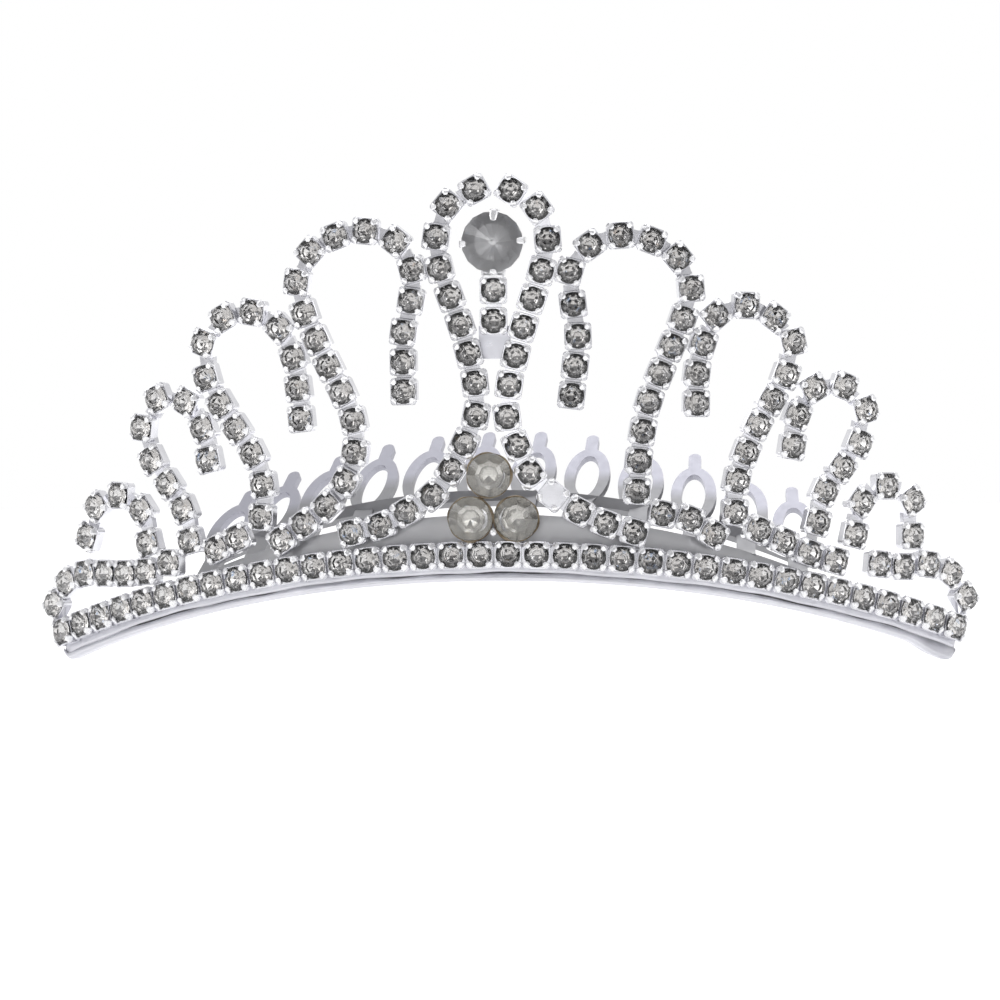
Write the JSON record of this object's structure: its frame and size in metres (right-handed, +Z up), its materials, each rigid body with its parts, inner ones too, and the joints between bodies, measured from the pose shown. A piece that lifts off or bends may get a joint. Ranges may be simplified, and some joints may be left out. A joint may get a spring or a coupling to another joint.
{
  "type": "tiara",
  "caption": "Curved bridal tiara: rhinestone cup chain soldered in looped arches on a narrow base band, with a toothed hair comb behind it and a large round stone on top.",
  "frame": {"origin": "middle of the comb's fold, where its teeth leave the sheet: the tiara is held in the hair there", "axes": "+X along the tiara from the viewer's left to right, -Y towards the viewer in front of the wearer, +Z up"},
  "size_m": [0.0957, 0.0241, 0.0492],
  "materials": {
    "cup_plating": "bright silver plating",
    "band_plating": "bright silver plating",
    "comb_plating": "bright silver plating",
    "crystal": "faceted, foil backed",
    "centre_crystal": "faceted, foil backed",
    "glued_crystal": "faceted, glued, slightly yellowed"
  },
  "bodies": {
    "root": {"base_band": "band_plating", "comb": "comb_plating", "base_row_cups": "cup_plating", "base_row_stones": "crystal", "centre_loop_left_cups": "cup_plating", "centre_loop_left_stones": "crystal", "centre_loop_right_cups": "cup_plating", "centre_loop_right_stones": "crystal", "inner_arch_left_cups": "cup_plating", "inner_arch_left_stones": "crystal", "inner_arch_right_cups": "cup_plating", "inner_arch_right_stones": "crystal", "middle_arch_left_cups": "cup_plating", "middle_arch_left_stones": "crystal", "middle_arch_right_cups": "cup_plating", "middle_arch_right_stones": "crystal", "outer_arch_left_cups": "cup_plating", "outer_arch_left_stones": "crystal", "outer_arch_right_cups": "cup_plating", "outer_arch_right_stones": "crystal", "swag_left_cups": "cup_plating", "swag_left_stones": "crystal", "swag_right_cups": "cup_plating", "swag_right_stones": "crystal", "low_swag_right_cups": "cup_plating", "low_swag_right_stones": "crystal", "end_hook_left_cups": "cup_plating", "end_hook_left_stones": "crystal", "end_link_left_cups": "cup_plating", "end_link_left_stones": "crystal", "end_curl_left_cups": "cup_plating", "end_curl_left_stones": "crystal", "end_loop_right_cups": "cup_plating", "end_loop_right_stones": "crystal", "end_curl_right_cups": "cup_plating", "end_curl_right_stones": "crystal", "stem_cups": "cup_plating", "stem_stones": "crystal", "stem_plate": "comb_plating", "centre_setting": "cup_plating", "centre_stone": "centre_crystal", "cluster_seats": "cup_plating", "cluster_stones": "glued_crystal"}
  },
  "joints": []
}
